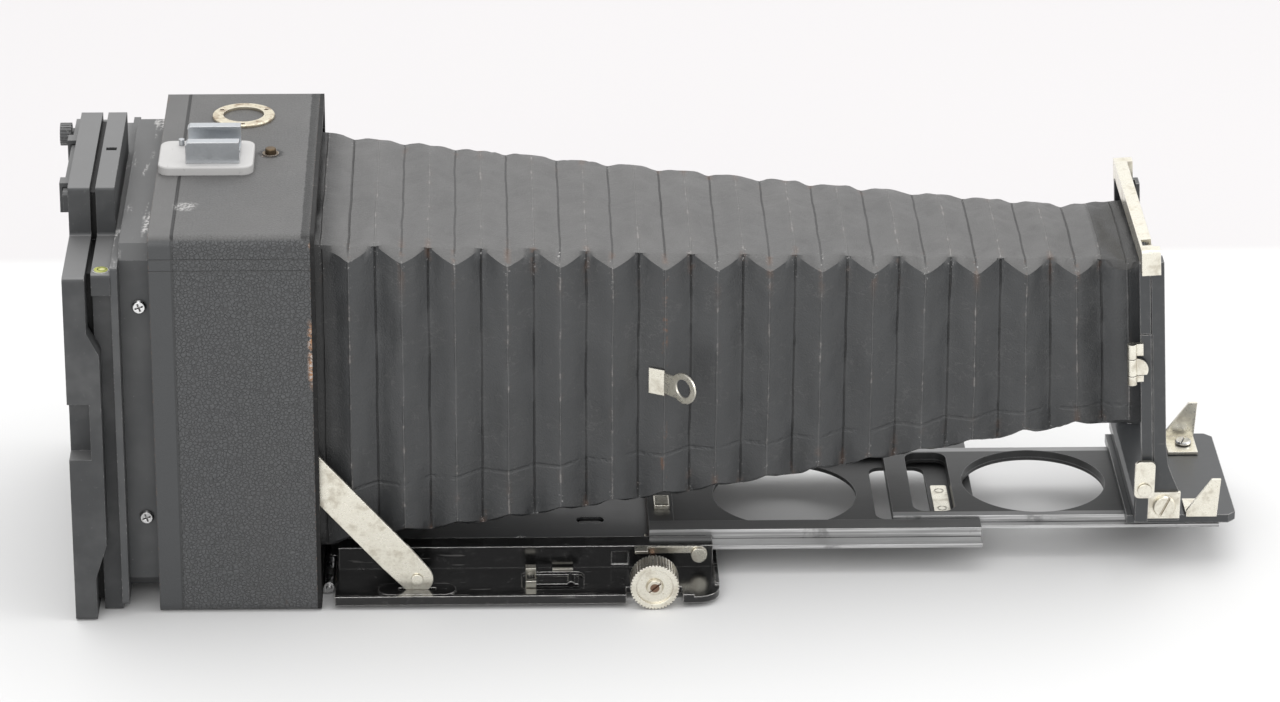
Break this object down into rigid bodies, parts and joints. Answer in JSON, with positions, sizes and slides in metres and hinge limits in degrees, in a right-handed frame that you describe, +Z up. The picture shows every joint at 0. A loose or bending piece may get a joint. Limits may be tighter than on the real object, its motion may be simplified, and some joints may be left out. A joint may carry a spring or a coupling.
{
  "type": "folding view camera",
  "caption": "Folding view camera: pleated tapered bellows drawn out on a racked two-stage track, a drop bed with struts, and an adapter back with a film gate.",
  "frame": {"origin": "centre of the tripod bush's mouth in the underside of the case, on the centre plane", "axes": "+X towards the lens along the bed, +Y to the camera's left side, away from the focusing knob, +Z up"},
  "size_m": [0.4596, 0.1632, 0.1684],
  "materials": {
    "black_wood": "matte",
    "case_leather": "grained satin",
    "black_enamel": "gloss, worn edges",
    "dark_anodised": "matte anodised",
    "bright_steel": "satin",
    "nickel": "satin nickel plate",
    "worn_aluminium": "worn",
    "brass": "tarnished",
    "pale_plate": "smooth",
    "level_glass": "clear",
    "bellows_leather": "creased leathercloth",
    "black_lens_board": "matte"
  },
  "bodies": {
    "case": {"case_shell": "black_wood", "case_leather": "case_leather", "front_rim": "black_enamel", "tripod_bush": "brass", "rear_frame": "dark_anodised", "frame_screws": "bright_steel", "adapter_plate": "dark_anodised", "adapter_front": "dark_anodised", "adapter_gasket": "dark_anodised", "adapter_rear": "dark_anodised", "level_cup": "nickel", "level_vial": "level_glass", "lock_keepers": "dark_anodised", "shoe_base": "pale_plate", "accessory_shoe": "nickel", "bush_ring": "nickel", "button_bush": "brass", "bellows_rear_frame": "black_enamel", "strut_pivots": "bright_steel", "bed_hinge": "bright_steel", "bellows_1": "bellows_leather"},
    "upper_lock": {"upper_lock": "dark_anodised"},
    "lower_lock": {"lower_lock": "dark_anodised"},
    "release_button": {"release_button": "brass"},
    "bed": {"bed_plate": "black_enamel", "guide_rails": "black_enamel", "floor_plate": "black_enamel", "floor_screws": "bright_steel", "bed_fittings": "nickel", "bellows_2": "bellows_leather"},
    "focus_knob": {"focus_knob": "nickel", "pinion_shaft": "nickel"},
    "focus_lock": {"focus_lock": "nickel"},
    "infinity_flap": {"infinity_flap": "black_enamel"},
    "strut_right": {"strut_right": "nickel"},
    "strut_left": {"strut_left": "nickel"},
    "track_1": {"track_1_sheet": "worn_aluminium", "track_1_rails": "black_enamel", "track_1_spring": "nickel", "racks": "nickel", "bellows_3": "bellows_leather", "eyelet": "nickel"},
    "track_2": {"track_2_sheet": "worn_aluminium", "track_2_plate": "black_enamel", "bellows_4": "bellows_leather"},
    "carriage": {"carriage_plate": "black_enamel", "grip_screws": "bright_steel", "bellows_5": "bellows_leather"},
    "near_grip": {"near_grip": "nickel"},
    "far_grip": {"far_grip": "nickel"},
    "standard": {"standard_frame": "black_enamel", "foot_clamps": "nickel", "clamp_posts": "nickel", "bellows_6": "bellows_leather"},
    "clamp_tab": {"clamp_tab": "nickel"},
    "rise_lever": {"rise_lever": "nickel"},
    "lens_board": {"lens_panel": "black_lens_board", "lens_flange": "nickel", "top_bar": "nickel"}
  },
  "joints": [
    {"name": "bed_fold", "type": "hinge", "parent": "case", "child": "bed", "pos_m": [0.0334, 0, 0.0026], "axis": [0, -1, 0], "range_deg": [0, 15], "deforming": ["bellows_1"]},
    {"name": "strut_right_pivot", "type": "hinge", "parent": "bed", "child": "strut_right", "pos_m": [0.0676, -0.0673, 0.01], "axis": [0, -1, 0], "range_deg": [-13.6, 0.5]},
    {"name": "strut_left_pivot", "type": "hinge", "parent": "bed", "child": "strut_left", "pos_m": [0.0676, 0.0673, 0.01], "axis": [0, -1, 0], "range_deg": [-13.6, 0.5]},
    {"name": "focus_slide", "type": "slide", "parent": "bed", "child": "track_1", "axis": [-1, 0, 0], "range_m": [0, 0.084], "deforming": ["bellows_2"]},
    {"name": "focus_knob_spin", "type": "hinge", "parent": "bed", "child": "focus_knob", "pos_m": [0.159, 0, 0.0096], "axis": [0, -1, 0], "range_deg": [-5, 1345]},
    {"name": "focus_lock_lever", "type": "hinge", "parent": "bed", "child": "focus_lock", "pos_m": [0.177, -0.05, 0.011], "axis": [0, 1, 0], "range_deg": [0, 20]},
    {"name": "infinity_flap_lift", "type": "hinge", "parent": "bed", "child": "infinity_flap", "pos_m": [0.1115, -0.0605, 0.0059], "axis": [0, -1, 0], "range_deg": [0, 80]},
    {"name": "extension_slide", "type": "slide", "parent": "track_1", "child": "track_2", "axis": [-1, 0, 0], "range_m": [0, 0.056], "deforming": ["bellows_3"]},
    {"name": "carriage_slide", "type": "slide", "parent": "track_2", "child": "carriage", "axis": [-1, 0, 0], "range_m": [0, 0.028], "deforming": ["bellows_4"]},
    {"name": "near_grip_pinch", "type": "slide", "parent": "carriage", "child": "near_grip", "axis": [0, 1, 0], "range_m": [0, 0.002], "stiffness_N_per_m": 300, "springref_m": -0.001},
    {"name": "far_grip_pinch", "type": "slide", "parent": "carriage", "child": "far_grip", "axis": [0, -1, 0], "range_m": [0, 0.002], "stiffness_N_per_m": 300, "springref_m": -0.001},
    {"name": "cross_shift", "type": "slide", "parent": "carriage", "child": "standard", "axis": [0, 1, 0], "range_m": [-0.006, 0.006], "deforming": ["bellows_5"]},
    {"name": "shift_lock_tab", "type": "hinge", "parent": "standard", "child": "clamp_tab", "pos_m": [0.3502, -0.0456, 0.0355], "axis": [0, 1, 0], "range_deg": [0, 25]},
    {"name": "rise_slide", "type": "slide", "parent": "standard", "child": "lens_board", "axis": [-0.0558, 0, 0.9984], "range_m": [0, 0.01], "deforming": ["bellows_6"]},
    {"name": "rise_lock_lever", "type": "hinge", "parent": "standard", "child": "rise_lever", "pos_m": [0.34322, -0.0456, 0.08744], "axis": [0.0558, 0, -0.9984], "range_deg": [0, 70]},
    {"name": "upper_lock_slide", "type": "slide", "parent": "case", "child": "upper_lock", "axis": [0, -1, 0], "range_m": [0, 0.006]},
    {"name": "lower_lock_slide", "type": "slide", "parent": "case", "child": "lower_lock", "axis": [0, -1, 0], "range_m": [0, 0.006]},
    {"name": "bed_release_press", "type": "slide", "parent": "case", "child": "release_button", "axis": [0, 0, -1], "range_m": [0, 0.002], "stiffness_N_per_m": 400, "springref_m": -0.001}
  ],
  "couplings": [
    {"joint": "strut_right_pivot", "follows": "bed_fold", "ratio": -0.867},
    {"joint": "strut_left_pivot", "follows": "bed_fold", "ratio": -0.867},
    {"joint": "focus_knob_spin", "follows": "focus_slide", "rad_per_m": 277.78}
  ]
}
